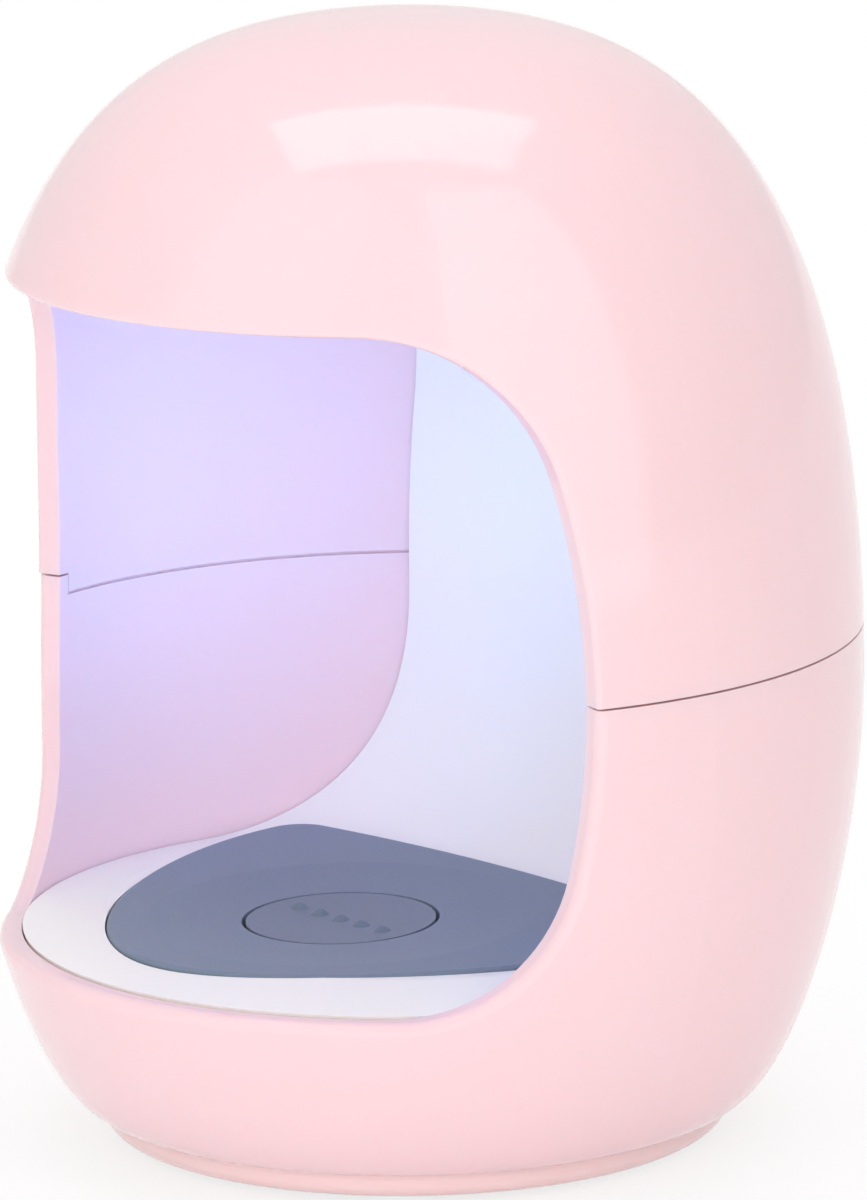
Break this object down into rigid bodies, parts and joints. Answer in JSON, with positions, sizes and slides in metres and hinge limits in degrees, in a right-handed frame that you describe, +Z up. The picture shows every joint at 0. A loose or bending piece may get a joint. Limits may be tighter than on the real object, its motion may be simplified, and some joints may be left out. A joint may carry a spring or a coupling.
{
  "type": "nail lamp",
  "caption": "Egg-shaped finger nail curing lamp with an open front, a white lining and a soft pad whose round centre is pressed to switch the light on.",
  "frame": {"origin": "centre of the underside of the rubber sole, on the egg's upright axis, in the plane the lamp stands on", "axes": "+Z up along the egg's axis; -Y is the open front that the finger enters; +Y is the back with the power inlet; +X is the right-hand side seen from behind"},
  "size_m": [0.065, 0.0623, 0.0806],
  "materials": {
    "shell_pink": "high-gloss pale pink moulding",
    "foot_pink": "slightly deeper pink, satin gloss",
    "liner_white": "smooth white moulding with a soft sheen",
    "silicone_slate": "matt slate-grey silicone",
    "black_plastic": "black moulded plastic",
    "plated_metal": "tin-plated metal and solder",
    "board_green": "green solder-masked board",
    "coil_grey": "dark grey ferrite",
    "capacitor_tan": "tan ceramic",
    "inlet_steel": "drawn steel shell",
    "window_clear": "clear polished plastic",
    "board_white": "white solder-masked board",
    "led_white": "white lamp bodies",
    "lens_clear": "clear domed lenses",
    "wire_red": "red wire sleeve",
    "wire_black": "black wire sleeve",
    "screw_steel": "zinc-plated steel",
    "rubber_grey": "dark grey rubber"
  },
  "bodies": {
    "housing": {"upper_shell": "shell_pink", "lower_shell": "shell_pink", "base_cover": "foot_pink", "inner_liner": "liner_white", "press_pad": "silicone_slate", "switch_body": "black_plastic", "switch_cap": "plated_metal", "switch_legs": "plated_metal", "control_board": "board_green", "control_chip": "black_plastic", "chip_legs": "plated_metal", "drive_coil": "coil_grey", "board_capacitors": "capacitor_tan", "board_resistors": "black_plastic", "usb_socket": "inlet_steel", "usb_tongue": "black_plastic", "lamp_window": "window_clear", "led_board": "board_white", "led_bodies": "led_white", "led_lenses": "lens_clear", "lead_red": "wire_red", "lead_black": "wire_black", "lead_joints": "plated_metal", "base_screws": "screw_steel", "board_screws": "screw_steel", "lamp_screws": "screw_steel", "rubber_sole": "rubber_grey"},
    "disc": {"press_disc": "silicone_slate"},
    "stem": {"switch_stem": "black_plastic"}
  },
  "joints": [
    {"name": "disc_press", "type": "slide", "parent": "housing", "child": "disc", "axis": [0, 0, -1], "range_m": [0, 0.0005], "stiffness_N_per_m": 1500, "springref_m": -0.0008},
    {"name": "stem_press", "type": "slide", "parent": "housing", "child": "stem", "axis": [0, 0, -1], "range_m": [0, 0.0005]}
  ],
  "couplings": [
    {"joint": "stem_press", "follows": "disc_press", "ratio": 1}
  ]
}
